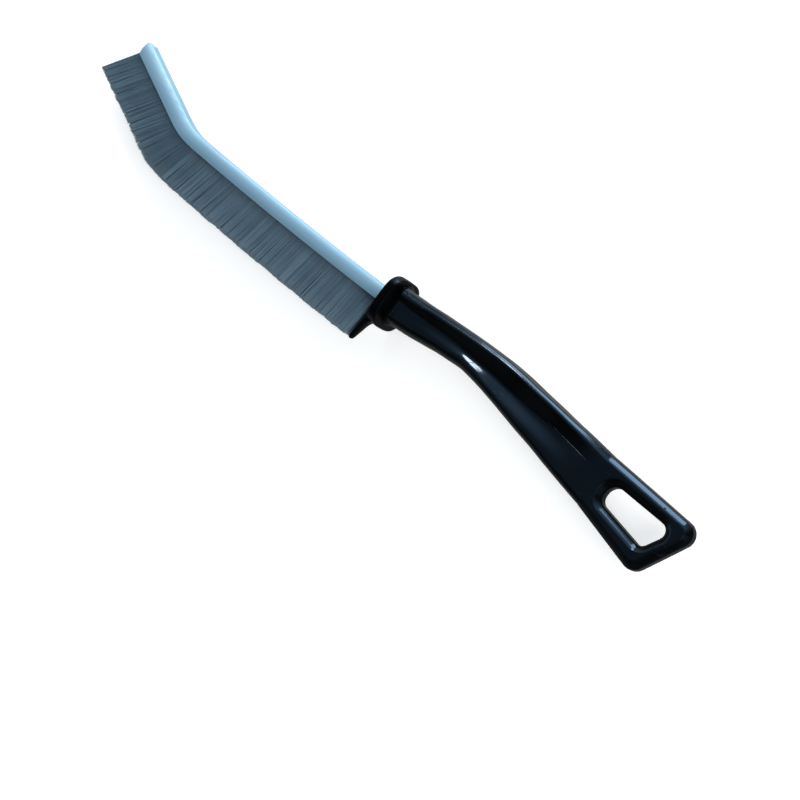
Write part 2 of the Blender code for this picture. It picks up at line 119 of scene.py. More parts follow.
def circle(count, power=1.0):
    """Cosines and sines once round. A power below 1 squares the circle."""
    turns = [math.tau * step / count for step in range(count)]
    return [
        [math.copysign(abs(part) ** power, part) for part in (math.cos(turn), math.sin(turn))]
        for turn in turns
    ]


def quarter(steps):
    """Cosines and sines over the first quarter turn."""
    turns = [math.pi / 2 * step / steps for step in range(steps + 1)]
    return [(max(math.cos(turn), 0.0), math.sin(turn)) for turn in turns]


def add_object(name, data):
    """A new object in the scene."""
    added = bpy.data.objects.new(name, data)
    bpy.context.scene.collection.objects.link(added)
    return added


print("a quarter in three steps:", [round(sine, 2) for _, sine in quarter(3)])

# %% [markdown]
# ## Camera
#
# The brush lies diagonally across a square picture. A camera like that is easiest to give by its
# place and its three axes, the columns of a rotation matrix. A long lens keeps the perspective
# mild, and a small shift moves the brush in the frame without turning the camera.

# %% Camera
CAMERA_PLACE = (276.755, 27.39, 465.185)
CAMERA_RIGHT = (0.682937, 0.583693, -0.439203)
CAMERA_UP = (-0.523678, 0.810397, 0.262713)
CAMERA_BACK = (0.509273, 0.050584, 0.859117)
CAMERA_SHIFT = (0.0080225, -0.1226392)
LENS_MM = 95.80791

studio_lens = bpy.data.cameras.new("studio_camera")
studio_lens.lens = LENS_MM
studio_lens.sensor_width = 36
studio_lens.shift_x, studio_lens.shift_y = CAMERA_SHIFT
studio_lens.clip_start = 0.01
camera = add_object("studio_camera", studio_lens)
axes = Matrix((CAMERA_RIGHT, CAMERA_UP, CAMERA_BACK)).transposed().to_4x4()
camera.matrix_world = Matrix.Translation(place(CAMERA_PLACE)) @ axes
bpy.context.scene.camera = camera
print("camera at mm:", [round(value / MM, 1) for value in camera.location])

# %% [markdown]
# ## Small tools for shader nodes
#
# A material is a tree of nodes. The same moves come back all the time: add a node, give each
# input a value or a link, add up weighted masks, and make a group whose sockets are declared with
# interface.new_socket. Writing them once keeps each material short.

# %% Node helpers
def link(source, target):
    """Joins an output socket to an input, or gives the input a plain value."""
    if isinstance(source, bpy.types.NodeSocket):
        target.id_data.links.new(source, target)
    else:
        target.default_value = source


def set_inputs(node, **values):
    """Gives a node's named inputs their values or links."""
    for name, value in values.items():
        link(value, node.inputs[name.replace("_", " ")])


def add_node(tree, kind, **values):
    """A node of one kind, with its settings and its inputs' values or links."""
    node = tree.nodes.new("ShaderNode" + kind)
    for name, value in values.items():
        if hasattr(node, name):
            setattr(node, name, value)
        else:
            set_inputs(node, **{name: value})
    return node


def math_node(tree, operation, *values, kind="Math"):
    """A Math or VectorMath node. Each operand is a socket or a number."""
    node = add_node(tree, kind, operation=operation)
    for socket, value in zip(node.inputs, values):
        link(value, socket)
    return node.outputs[0]


def total(tree, start, *terms):
    """A start value plus each socket times its weight."""
    for source, weight in terms:
        start = math_node(tree, "MULTIPLY_ADD", source, weight, start)
    return start


def ramp(tree, source, low, high):
    """Turns the part of a value between low and high into 0 to 1."""
    node = add_node(tree, "MapRange", interpolation_type="SMOOTHSTEP")
    set_inputs(node, Value=source, From_Min=low, From_Max=high)
    return node.outputs["Result"]


def attribute(tree, name):
    """A number that the mesh stores for each point."""
    return add_node(tree, "Attribute", attribute_name=name).outputs["Fac"]


def noise(tree, **values):
    """A cloudy value between 0 and 1."""
    return add_node(tree, "TexNoise", **values).outputs["Fac"]


def seen_by(tree, *kinds):
    """1 where a ray is of one of these kinds, and 0 elsewhere."""
    rays = add_node(tree, "LightPath").outputs
    seen = rays[kinds[0]]
    for kind in kinds[1:]:
        seen = math_node(tree, "MAXIMUM", seen, rays[kind])
    return seen


def mix_shaders(tree, share, shaders, output):
    """Feeds a mix of two shaders to the tree's output node."""
    mix = add_node(tree, "MixShader", Fac=share)
    for socket, shader in zip(mix.inputs[1:], shaders):
        link(shader.outputs[0], socket)
    link(mix.outputs["Shader"], tree.nodes[output].inputs["Surface"])


SOCKET_KINDS = {1: "NodeSocketFloat", 3: "NodeSocketVector", 4: "NodeSocketColor"}


def new_group(name, inputs, outputs):
    """An empty shader group whose sockets take their kind from their default values."""
    group = bpy.data.node_groups.new(name, "ShaderNodeTree")
    for way, sockets in (("INPUT", inputs), ("OUTPUT", outputs)):
        for label, value in sockets.items():
            kind = SOCKET_KINDS[len(value) if isinstance(value, tuple) else 1]
            socket = group.interface.new_socket(label, in_out=way, socket_type=kind)
            socket.default_value = value
    ins, outs = group.nodes.new("NodeGroupInput"), group.nodes.new("NodeGroupOutput")
    return group, ins.outputs, outs.inputs


print("groups can have sockets of", len(SOCKET_KINDS), "kinds")

# %% [markdown]
# ## Group 1: skin
#
# Moulded plastic, drawn nylon and rolled steel all have a fine grain, and a slow, cloudy change
# in gloss from handling. One group gives both: a height for a Bump node, and a cloud between 0
# and 1. Its Stretch input turns round grain into the drawn lines of rolled metal.

# %% Skin group
skin_group, ins, outs = new_group(
    "skin",
    {"Grain Scale": 3000.0, "Cloud Scale": 120.0, "Stretch": (1.0, 1.0, 1.0)},
    {"Grain": 0.0, "Cloud": 0.0},
)
where = add_node(skin_group, "TexCoord").outputs["Object"]
scaled = math_node(skin_group, "MULTIPLY", where, ins["Stretch"], kind="VectorMath")
for label, detail in (("Grain", 3.0), ("Cloud", 5.0)):
    scale = ins[label + " Scale"]
    cloudy = noise(skin_group, Vector=scaled, Scale=scale, Detail=detail, Roughness=0.6)
    link(ramp(skin_group, cloudy, 0.25, 0.75), outs[label])
print("group", skin_group.name, "with", len(skin_group.nodes), "nodes")

# %% [markdown]
# ## Group 2: scratches
#
# Scratches on a carried tool are short, thin and run roughly one way. A noise that is squeezed
# hard along one axis gives long streaks. A second, round noise breaks them into short pieces, and
# a threshold keeps only the sharpest.

# %% Scratch group
scratch_group, ins, outs = new_group(
    "scratches", {"Along": 60.0, "Across": 2200.0, "Threshold": 0.68, "Turn": 0.0}, {"Mask": 0.0}
)
where = add_node(scratch_group, "TexCoord").outputs["Object"]
turned = add_node(scratch_group, "VectorRotate", rotation_type="Z_AXIS")
set_inputs(turned, Vector=where, Angle=ins["Turn"])
factors = add_node(scratch_group, "CombineXYZ", X=ins["Along"], Y=ins["Across"])
link(ins["Across"], factors.inputs["Z"])
turned, factors = turned.outputs[0], factors.outputs[0]
squeezed = math_node(scratch_group, "MULTIPLY", turned, factors, kind="VectorMath")
streak = noise(scratch_group, Vector=squeezed, Scale=1.0, Detail=1.0)
edge = math_node(scratch_group, "ADD", ins["Threshold"], 0.05)
keep = ramp(scratch_group, streak, ins["Threshold"], edge)
breaks = noise(scratch_group, Vector=where, Scale=260.0, Detail=2.0)
broken = ramp(scratch_group, breaks, 0.45, 0.6)
link(math_node(scratch_group, "MULTIPLY", keep, broken), outs["Mask"])
print("group", scratch_group.name, "with", len(scratch_group.nodes), "nodes")

# %% [markdown]
# ## Group 3: tone
#
# No real surface has one colour. This group mixes a colour with a second one by a mask, and
# limits how far the mix may go. The functions below it place a group in a material, start a
# material and press a height into a surface.

# %% Tone group
GREY = (0.5, 0.5, 0.5, 1.0)
tone_group, ins, outs = new_group(
    "tone", {"Base": GREY, "Other": GREY, "Mask": 0.5, "Amount": 0.5}, {"Color": GREY}
)
mix = add_node(tone_group, "Mix", data_type="RGBA")
share = math_node(tone_group, "MULTIPLY", ins["Mask"], ins["Amount"])
# The colour sockets of a Mix node are its seventh and eighth inputs and its third output.
for socket, source in ((0, share), (6, ins["Base"]), (7, ins["Other"])):
    link(source, mix.inputs[socket])
link(mix.outputs[2], outs["Color"])
print("group", tone_group.name, "with", len(tone_group.nodes), "nodes")


def use_group(tree, group, **values):
    """Places a group in a material's tree with its own values, and gives its outputs."""
    return add_node(tree, "Group", node_tree=group, **values).outputs


def tinted(tree, mask, base, other, amount):
    """A colour that a mask carries some way towards another."""
    mixed = use_group(tree, tone_group, Mask=mask, Base=base, Other=other, Amount=amount)
    return mixed["Color"]


def new_material(name, **values):
    """A material with its Principled shader, and values on the shader's own sockets."""
    material = bpy.data.materials.new(name)
    material.use_nodes = True
    tree = material.node_tree
    shader = tree.nodes["Principled BSDF"]
    set_inputs(shader, **values)
    return material, tree, shader


def bump(tree, height, distance):
    """A normal for a shader, from a height."""
    return add_node(tree, "Bump", Height=height, Distance=distance).outputs["Normal"]

# %% [markdown]
# ## Finish: black moulded plastic
#
# The handle is polypropylene, black right through and glossy from a polished mould. It reflects
# the room in slightly blue streaks. Finger marks make the gloss cloudy, and fine scratches run
# along the grip. Some sides came matt from the mould, and the mesh says where, in an attribute.
# Where the surface turns away from the eye, a Layer Weight node takes most of the reflection
# off, because the fine grain of a moulded skin shades itself there.

# %% Black plastic
BLACK, WORN_BLACK = (0.0008, 0.0009, 0.0010, 1), (0.0020, 0.0023, 0.0026, 1)
black_plastic, tree, shader = new_material(
    "black_moulding", IOR=1.49, Specular_Tint=(0.42, 0.68, 1.0, 1)
)
skin = use_group(tree, skin_group, Grain_Scale=2600.0, Cloud_Scale=110.0)
scratches = use_group(tree, scratch_group, Along=70.0, Across=2400.0, Threshold=0.69, Turn=-0.3)
matt = attribute(tree, "matt_skin")
facing = add_node(tree, "LayerWeight", Blend=0.5).outputs["Facing"]
gloss = total(tree, 0.40, (ramp(tree, facing, 0.50, 0.90), -0.33))
dulled = total(tree, 1.0, (matt, -0.94))
set_inputs(
    shader,
    Base_Color=tinted(tree, skin["Cloud"], BLACK, WORN_BLACK, 0.8),
    Roughness=total(tree, 0.07, (skin["Cloud"], 0.08), (scratches["Mask"], 0.25), (matt, 0.2)),
    Specular_IOR_Level=math_node(tree, "MULTIPLY", gloss, dulled),
    Normal=bump(tree, total(tree, skin["Grain"], (scratches["Mask"], -1.0)), 0.0000012),
)
print("material", black_plastic.name)

# %% [markdown]
# ## Finish: zinc-coated steel
#
# The channel is rolled from thin coated strip. Rolling leaves fine lines along its length, the
# coating has a soft blue cast, and the folding tools rub faint streaks into it. Metal takes its
# colour from its reflections, so the roughness matters more than the colour.

# %% Channel steel
BLUE_STEEL, PALE_STEEL = (0.275, 0.445, 0.56, 1), (0.345, 0.515, 0.63, 1)
coated_steel, tree, shader = new_material(
    "coated_steel", Metallic=1.0, Specular_Tint=(1.0, 0.99, 0.98, 1)
)
rolled = (0.04, 1.6, 1.6)
lines = use_group(tree, skin_group, Grain_Scale=900.0, Cloud_Scale=90.0, Stretch=rolled)
rubs = use_group(tree, scratch_group, Along=120.0, Across=2600.0, Threshold=0.66, Turn=0.05)
set_inputs(
    shader,
    Base_Color=tinted(tree, lines["Cloud"], BLUE_STEEL, PALE_STEEL, 0.6),
    Roughness=total(tree, 0.60, (lines["Grain"], 0.10), (rubs["Mask"], 0.12)),
    Normal=bump(tree, total(tree, lines["Grain"], (rubs["Mask"], -1.0)), 0.000006),
)
print("material", coated_steel.name)

# %% [markdown]
# ## Finish: grey nylon
#
# The filaments are drawn nylon, grey with a little blue. Each has its own tone, because batches
# mix, and the strands at the edges of a clump are darker, which is painted shade in the gaps
# between clumps. The cut tip is paler, partly the nylon's own colour and partly painted light on
# the spread tips. Close to the channel the strands are darker, which is painted shade under the
# lips. The mesh stores these three as numbers for each point, which Attribute nodes read.

# %% Nylon
STRAND_COLOURS = (
    # what the mesh stores, the colour that it leads to, and how far
    # each filament's own tone, with painted shade on the strands at the edges of clumps
    ("strand_tone_and_gap_shade", (0.100, 0.171, 0.230, 1), 1.0),
    # paler cut tips: partly the nylon's own colour, partly painted light
    ("strand_tip_pale_and_painted_light", (0.30, 0.38, 0.43, 1), 0.55),
    # painted shade under the channel's lips
    ("painted_root_shade", (0.040, 0.066, 0.088, 1), 0.6),
)
nylon, tree, shader = new_material("grey_filament", IOR=1.53, Specular_IOR_Level=0.35)
skin = use_group(tree, skin_group, Grain_Scale=1800.0, Cloud_Scale=260.0)
colour = (0.049, 0.086, 0.121, 1)
for stored, other, amount in STRAND_COLOURS:
    colour = tinted(tree, attribute(tree, stored), colour, other, amount)
rough = total(tree, 0.42, (skin["Cloud"], 0.2))
normal = bump(tree, skin["Grain"], 0.000004)
set_inputs(shader, Base_Color=colour, Roughness=rough, Normal=normal)
print("material", nylon.name)

# %% [markdown]
# ## Finish: core wire
#
# The wire that holds the folded filaments is plain drawn steel, darker than the channel. Only
# its end can be seen, inside the channel's mouth.

# %% Wire steel
wire_steel, tree, shader = new_material("drawn_wire", Metallic=1.0)
grain = use_group(tree, skin_group, Grain_Scale=1600.0, Stretch=(0.05, 1.0, 1.0))["Grain"]
colour = tinted(tree, grain, (0.30, 0.31, 0.32, 1), (0.45, 0.45, 0.44, 1), 0.7)
set_inputs(shader, Base_Color=colour, Roughness=total(tree, 0.35, (grain, 0.15)))
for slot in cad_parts["core_wire"].material_slots:
    slot.material = wire_steel
print("core_wire keeps its solid, with", wire_steel.name)

# %% [markdown]
# ## The line of the head
#
# The channel bows slightly to the back, turns through a short bend and ends in a straight tip.
# All pieces of the head follow this one line, so it is written once, as a function from a
# distance to a point, a direction and a back direction.

# %% Line of the channel
STRAIGHT_LENGTH = 78.7
BEND_LENGTH = 9.9
TIP_LENGTH = 28.2
LINE_LENGTH = STRAIGHT_LENGTH + BEND_LENGTH + TIP_LENGTH
BOW = math.radians(2.7)
BEND = math.radians(20)


def line_frame(distance):
    """Point, direction to the tip and back direction at a distance from the collar."""
    if distance <= 0:
        return Vector((-distance, 0, 0)), Vector((-1, 0, 0)), Vector((0, 1, 0))
    point = Vector((0, 0, 0))
    turn = 0
    straight = min(distance, STRAIGHT_LENGTH)
    bend = min(max(distance - STRAIGHT_LENGTH, 0), BEND_LENGTH)
    for length, full, angle in ((straight, STRAIGHT_LENGTH, BOW), (bend, BEND_LENGTH, BEND)):
        steps = 24
        for step in range(steps):
            now = turn + angle * (step + 0.5) / steps * length / full
            point += Vector((-math.cos(now), math.sin(now), 0)) * length / steps
        turn += angle * length / full
    ahead = Vector((-math.cos(turn), math.sin(turn), 0))
    point += ahead * max(distance - STRAIGHT_LENGTH - BEND_LENGTH, 0)
    return point, ahead, Vector((math.sin(turn), math.cos(turn), 0))


tip_point = line_frame(LINE_LENGTH)[0]
print("end of the line in mm:", [round(value, 1) for value in tip_point])

# %% [markdown]
# ## Turning rings into a mesh
#
# Most pieces here are lofts: rings with the same number of points, joined by four-sided faces
# and closed at both ends. The last helper makes them, and the others turn them into objects.

# %% Loft helper
def finished_mesh(name, work):
    """A smooth-shaded mesh from a finished bmesh, with its normals outwards."""
    bmesh.ops.recalc_face_normals(work, faces=work.faces)
    mesh = bpy.data.meshes.new(name)
    work.to_mesh(mesh)
    work.free()
    mesh.shade_smooth()
    return mesh


def new_piece(name, work, material):
    """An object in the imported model's metres, from a bmesh in millimetres."""
    mesh = finished_mesh(name, work)
    mesh.transform(Matrix.Translation(origin) @ Matrix.Scale(MM, 4))
    mesh.materials.append(material)
    return add_object(name, mesh)


def evaluated_mesh(obj):
    """A new mesh with all that the object's curve settings or modifiers do."""
    graph = bpy.context.evaluated_depsgraph_get()
    return bpy.data.meshes.new_from_object(obj.evaluated_get(graph), depsgraph=graph)


def loft(rings, close_ends=True, looped=False):
    """A bmesh through closed rings of equal length. A looped one ends where it starts."""
    work = bmesh.new()
    made = [[work.verts.new(point) for point in ring] for ring in rings]
    for near, far in zip(made, made[1:] + made[: int(looped)]):
        for side in range(len(near)):
            after = (side + 1) % len(near)
            work.faces.new((near[side], near[after], far[after], far[side]))
    if close_ends:
        work.faces.new(list(reversed(made[0])))
        work.faces.new(made[-1])
    return work


print("a loft is scaled by", MM)

# %% [markdown]
# ## Handle, step 1: sections of the grip
#
# The grip is a bar that widens towards the butt, with a long flute on each flat side. At each
# station along it, six numbers describe its section. Between stations, a smooth curve through
# the table fills in the values, so that highlights flow without kinks.

# %% Table of the grip
GRIP_ROWS = (
    # x, back, front, half thickness, flute depth, crest height, crease
    (1.2, 4.86, -5.33, 4.25, 0.30, 4.04, 1.30),
    (5.0, 5.06, -5.08, 4.30, 0.50, 4.00, 1.26),
    (10.0, 5.22, -4.75, 4.40, 0.80, 3.96, 1.26),
    (15.0, 5.58, -4.16, 4.50, 1.10, 3.92, 1.49),
    (20.0, 5.80, -3.55, 4.50, 1.30, 3.78, 1.57),
    (24.0, 5.99, -3.29, 4.50, 1.40, 3.69, 1.53),
    (28.0, 6.12, -3.06, 4.50, 1.50, 3.69, 1.40),
    (31.0, 6.19, -3.31, 4.50, 1.60, 3.78, 1.22),
    (34.0, 6.19, -3.69, 4.50, 1.70, 3.82, 0.99),
    (38.0, 6.19, -4.34, 4.50, 1.80, 3.87, 0.67),
    (44.0, 5.85, -5.49, 4.50, 1.90, 3.87, 0.14),
    (50.0, 5.22, -6.71, 4.45, 1.90, 3.83, -0.32),
    (56.0, 4.68, -7.79, 4.30, 1.80, 3.74, -0.49),
    (62.0, 4.05, -9.07, 4.00, 1.50, 3.56, -0.81),
    (67.0, 3.65, -10.08, 3.67, 0.97, 3.41, -1.40),
    (71.0, 3.26, -10.85, 3.33, 0.45, 3.20, -1.89),
    (74.0, 2.96, -11.41, 2.97, 0.14, 2.92, -2.21),
    (76.0, 2.76, -11.75, 2.75, 0.00, 2.75, -2.34),
    (77.7, 2.60, -11.88, 2.62, 0.00, 2.62, -2.39),
)
RIM_ROWS = (
    # x, width of the bevelled back rim, its roundness from 1 (flat) to 2 (round)
    (1.2, 1.9, 1.45), (12.0, 1.8, 1.45), (20.0, 1.7, 1.4), (31.0, 1.6, 1.4), (44.0, 1.5, 1.4),
    (56.0, 1.45, 1.3), (66.0, 1.6, 1.2), (74.0, 1.8, 1.16), (77.7, 1.9, 1.16),
)
RISE_ROWS = (
    # x, where the rising facet starts and ends on the way from crease to crest, and its flatness
    (1.2, 0.0, 1.0, 0.0), (20.0, 0.0, 1.0, 0.0), (24.0, 0.05, 0.95, 0.3),
    (28.0, 0.20, 0.74, 0.95), (31.0, 0.16, 0.78, 1.0), (34.0, 0.12, 0.80, 1.0),
    (38.0, 0.0, 1.0, 0.9), (44.0, 0.0, 1.0, 0.6), (50.0, 0.0, 1.0, 0.2),
    (56.0, 0.0, 1.0, 0.0), (77.7, 0.0, 1.0, 0.0),
)


def smooth_value(rows, x):
    """A table's values at x, on a curve through the neighbouring rows."""
    last = len(rows) - 2
    index = max(i for i in range(last + 1) if rows[i][0] <= x or i == 0)
    before, here = rows[max(index - 1, 0)], rows[index]
    there, beyond = rows[index + 1], rows[min(index + 2, last + 1)]
    span = there[0] - here[0]
    t = (x - here[0]) / span
    values = []
    for column in range(1, len(here)):
        slope_in = (there[column] - before[column]) / max(there[0] - before[0], 0.1)
        slope_out = (beyond[column] - here[column]) / max(beyond[0] - here[0], 0.1)
        first = (2 * t**3 - 3 * t**2 + 1) * here[column] + (t**3 - 2 * t**2 + t) * span * slope_in
        second = (3 * t**2 - 2 * t**3) * there[column] + (t**3 - t**2) * span * slope_out
        values.append(first + second)
    return values


print("half-way along the grip:", [round(value, 2) for value in smooth_value(GRIP_ROWS, 40)])

# %% [markdown]
# ## Handle, step 2: one ring
#
# Half a ring runs from the back edge over the rim, down the straight wall of the flute to the
# crease, up the hollow facet to the front crest and round the front edge. The other half is its
# mirror image. A moving average then rounds every corner by about a fifth of a millimetre.

# %% Ring of the grip
FRONT_RIM = 1.9
BEVEL_LEAN = 0.84
CREST_FLAT = 0.3
CORNER_SOFTNESS = 0.22


def half_ring(x):
    """Half of a section: (y, z) from the back edge to the front edge."""
    back, front, top, depth, crest, crease = smooth_value(GRIP_ROWS, x)
    radius, roundness = smooth_value(RIM_ROWS, x)
    radius = min(radius, top - 0.2)
    drop = radius * BEVEL_LEAN
    power = 2 / roundness
    points = [(back, (top - drop) * step / 4) for step in range(4)]
    for across, up in quarter(12):
        points.append((back - radius * (1 - across**power), top - drop * (1 - up**power)))
    rim = back - radius - CREST_FLAT
    for step in range(13):
        share = step / 12
        points.append((rim + (crease - rim) * share, top - depth * (0.06 + 0.94 * share**0.95)))
    inner, floor = front + FRONT_RIM, top - depth
    foot, head, flat = smooth_value(RISE_ROWS, x)
    for step in range(1, 17):
        share = step / 16
        climb = clamp((share - foot) / (head - foot))
        climb += (1 - flat) * (ease(climb) - climb)
        points.append((crease + (inner - crease) * share, floor + (crest - floor) * climb))
    for across, up in quarter(12)[-2::-1]:
        points.append((front + FRONT_RIM * (1 - across), crest * up))
    return points


def softened(ring, width):
    """The closed ring, with each point moved to a weighted mean of the ring around it."""
    count = len(ring)
    gaps = [math.dist(ring[i], ring[(i + 1) % count]) for i in range(count)]
    out = []
    for index in range(count):
        whole, across, up = 0.0, 0.0, 0.0
        for way in (1, -1):
            run, here = 0.0, index
            while run < width * 3:
                weight = (gaps[here] + gaps[here - 1]) * math.exp(-((run / width) ** 2) / 2)
                weight *= 0.5 if here == index else 1.0
                whole += weight
                across += weight * ring[here][0]
                up += weight * ring[here][1]
                run += gaps[here] if way == 1 else gaps[here - 1]
                here = (here + way) % count
        out.append((across / whole, up / whole))
    return out


def grip_ring(x):
    """The full section at x as points in space."""
    half = half_ring(x)
    ring = half + [(across, -up) for across, up in reversed(half[1:-1])]
    return [(x, across, up) for across, up in softened(ring, CORNER_SOFTNESS)]


GRIP_START, GRIP_END, GRIP_STEPS = 1.2, 77.7, 120
grip_rings = [
    grip_ring(GRIP_START + (GRIP_END - GRIP_START) * step / GRIP_STEPS)
    for step in range(GRIP_STEPS + 1)
]
print("grip:", len(grip_rings), "rings of", len(grip_rings[0]), "points")

# %% [markdown]
# ## Handle, step 3: butt plate and collar
#
# The butt is a flat plate with a hanging hole, and the collar is a thick squared disc. Both are
# filled 2D curves: extrude makes the thickness, the bevel cuts the edges, and a negative offset
# keeps the bevel inside the outline. The collar's bevel is round. The butt's has a profile with
# one point between its ends, and leans like the rim of the grip.

# %% Flat plates
BUTT_CORNERS = (
    (72.5, 2.72), (76.0, 2.80), (105.47, 0.94), (96.08, -16.67), (76.0, -11.77), (72.5, -10.71),
)
BUTT_RADII = (2.4, 2.4, 3.4, 3.4, 2.4, 2.4)
BUTT_THICKNESS = 5.5
BUTT_EDGE = 1.8
HOLE_CORNERS = ((79.2, -2.2), (98.7, -2.88), (94.25, -10.4), (79.2, -7.6))
HOLE_RADII = (3.0, 2.1, 2.1, 2.1)
COLLAR_THICKNESS = 2.7
COLLAR_HALF = 7.1
COLLAR_DROP = 0.45
COLLAR_EDGE = 0.45
COLLAR_SQUARENESS = 3.2
ARC_STEP = 0.09


def rounded_outline(corners, radii):
    """A polygon with an arc in place of each corner."""
    outline = []
    for index, (corner, radius) in enumerate(zip(corners, radii)):
        here = Vector(corner)
        before = (Vector(corners[index - 1]) - here).normalized()
        after = (Vector(corners[(index + 1) % len(corners)]) - here).normalized()
        half = before.angle(after) / 2
        centre = here + (before + after).normalized() * radius / math.sin(half)
        start = here + before * radius / math.tan(half) - centre
        sweep = math.pi - 2 * half
        turn = -1 if before.cross(after) > 0 else 1
        segments = max(1, round(sweep / ARC_STEP))
        for step in range(segments + 1):
            angle = turn * sweep * step / segments
            outline.append(tuple(centre + Matrix.Rotation(angle, 2) @ start))
    return outline


def plate_mesh(name, outlines, thickness, edge, turn, bevel="ROUND"):
    """A bmesh of a flat curve with bevelled edges, turned and moved into place."""
    curve = bpy.data.curves.new(name, "CURVE")
    curve.dimensions = "2D"
    curve.fill_mode = "BOTH"
    curve.extrude = thickness / 2 - edge
    curve.bevel_depth = edge
    curve.bevel_resolution = 5
    curve.bevel_mode = bevel
    if bevel == "PROFILE":
        curve.bevel_profile.points.add(0.55, 0.55)
        curve.bevel_profile.update()
    curve.offset = -edge
    for outline in outlines:
        spline = curve.splines.new("POLY")
        spline.points.add(len(outline) - 1)
        for point, (across, along) in zip(spline.points, outline):
            point.co = (across, along, 0, 1)
        spline.use_cyclic_u = True
    holder = add_object(name, curve)
    mesh = evaluated_mesh(holder)
    bpy.data.objects.remove(holder)
    work = bmesh.new()
    work.from_mesh(mesh)
    bpy.data.meshes.remove(mesh)
    bmesh.ops.remove_doubles(work, verts=work.verts, dist=0.001)
    if bevel == "PROFILE":
        for vertex in work.verts:
            depth = thickness / 2 - abs(vertex.co.z)
            if depth < edge + 0.01:
                vertex.co.z = math.copysign(thickness / 2 - depth * BEVEL_LEAN, vertex.co.z)
    bmesh.ops.transform(work, matrix=turn, verts=work.verts)
    return work


hole = rounded_outline(HOLE_CORNERS, HOLE_RADII)
plate = [rounded_outline(BUTT_CORNERS, BUTT_RADII), hole]
butt = plate_mesh("butt", plate, BUTT_THICKNESS, BUTT_EDGE, Matrix.Identity(4), "PROFILE")
to_face = Matrix(((0, 0, 1), (0, 1, 0), (-1, 0, 0))).to_4x4()
to_face = Matrix.Translation((COLLAR_THICKNESS / 2, -COLLAR_DROP, 0)) @ to_face
oval = circle(120, 2 / COLLAR_SQUARENESS)
oval = [(over * COLLAR_HALF, up * COLLAR_HALF) for over, up in oval]
collar = plate_mesh("collar", [oval], COLLAR_THICKNESS, COLLAR_EDGE, to_face)
print("butt:", len(butt.faces), "faces, collar:", len(collar.faces), "faces")

# %% [markdown]
# ## Handle, step 4: fin
#
# In front of the collar, a thin tongue of the same plastic stands beside the last filaments and
# keeps them from spreading. It tapers to a rounded end, and is lofted through squared ovals.

# %% Fin
FIN_ROWS = (
    # y, front x, rear x, half width
    (-2.3, -2.35, 0.70, 1.75), (-4.8, -2.62, 0.62, 1.72), (-6.7, -2.85, 0.40, 1.66),
    (-7.5, -2.95, -0.40, 1.60), (-8.3, -3.05, -1.15, 1.52), (-9.6, -3.24, -1.62, 1.38),
    (-11.3, -3.48, -2.00, 1.20), (-12.9, -3.68, -2.38, 1.02), (-13.8, -3.78, -2.62, 0.84),
    (-14.2, -3.74, -2.90, 0.50),
)

rings = []
for y, front, rear, half in FIN_ROWS:
    middle, reach = (front + rear) / 2, (front - rear) / 2
    rings.append([(middle + ahead * reach, y, over * half) for ahead, over in circle(24, 0.6)])
fin = loft(rings)
print("fin:", len(fin.faces), "faces")

# %% [markdown]
# ## Handle, step 5: one moulding
#
# These forms are one moulding, with small fillets where they meet. A Boolean union joins them
# exactly but leaves sharp seams. A Remesh modifier in voxel mode then rebuilds the skin with even
# faces, and a Smooth modifier relaxes it, which rounds the inner corners as the mould does. The
# collar and the channel's socket come last, so that their edges stay crisp.

# %% Join, remesh and cut
VOXEL = 0.25
SOCKET_SIDE = CHANNEL_WIDTH + 0.12


def settle(obj):
    """Replaces the object's mesh by the result of its modifiers."""
    mesh = evaluated_mesh(obj)
    obj.modifiers.clear()
    obj.data = mesh


def join_forms(obj, works, operation):
    """Booleans an object with the forms of some bmeshes."""
    forms = [new_piece("form", work, black_plastic) for work in works]
    for form in forms:
        step = obj.modifiers.new(form.name, "BOOLEAN")
        step.operation, step.solver, step.object = operation, "EXACT", form
    settle(obj)
    for form in forms:
        bpy.data.objects.remove(form)


SWELL_DROP = 0.1
SWELL_ROWS = (
    # x, reach to the back and front, rise
    (1.5, 6.5, 3.9), (2.6, 6.35, 3.8), (3.2, 5.95, 3.6),
    (4.0, 5.5, 3.3), (5.2, 5.15, 2.9), (7.0, 4.7, 2.4),
)
rings = []
for x, reach, rise in SWELL_ROWS:
    rings.append([(x, across * reach - SWELL_DROP, up * rise) for across, up in circle(32)])
swell = loft(rings)
handle = new_piece("handle_moulding", loft(grip_rings), black_plastic)
join_forms(handle, [butt, swell, fin], "UNION")
remesh = handle.modifiers.new("even skin", "REMESH")
remesh.mode = "VOXEL"
remesh.voxel_size = VOXEL * MM
relax = handle.modifiers.new("fillets", "SMOOTH")
relax.factor = 0.5
relax.iterations = 5
settle(handle)
join_forms(handle, [collar], "UNION")
half = SOCKET_SIDE / 2
corners = ((-half, -half), (half, -half), (half, half), (-half, half))
ends = (-3.0, SEATED_LENGTH + 0.3)
socket = loft([[(x, across, up) for across, up in corners] for x in ends])
join_forms(handle, [socket], "DIFFERENCE")
print("handle:", len(handle.data.polygons), "faces")

# %% [markdown]
# ## Handle, step 6: marks of the mould
#
# A moulding tells how it was made. Ejector pins leave faint rings, a flow line runs down the
# crease of the flute, and a few specks stand up where the mould was nicked. They are about a
# tenth of a millimetre high, but black gloss shows them. A ray that is cast straight down finds
# the skin under each mark, so that it sits half sunk in the surface.

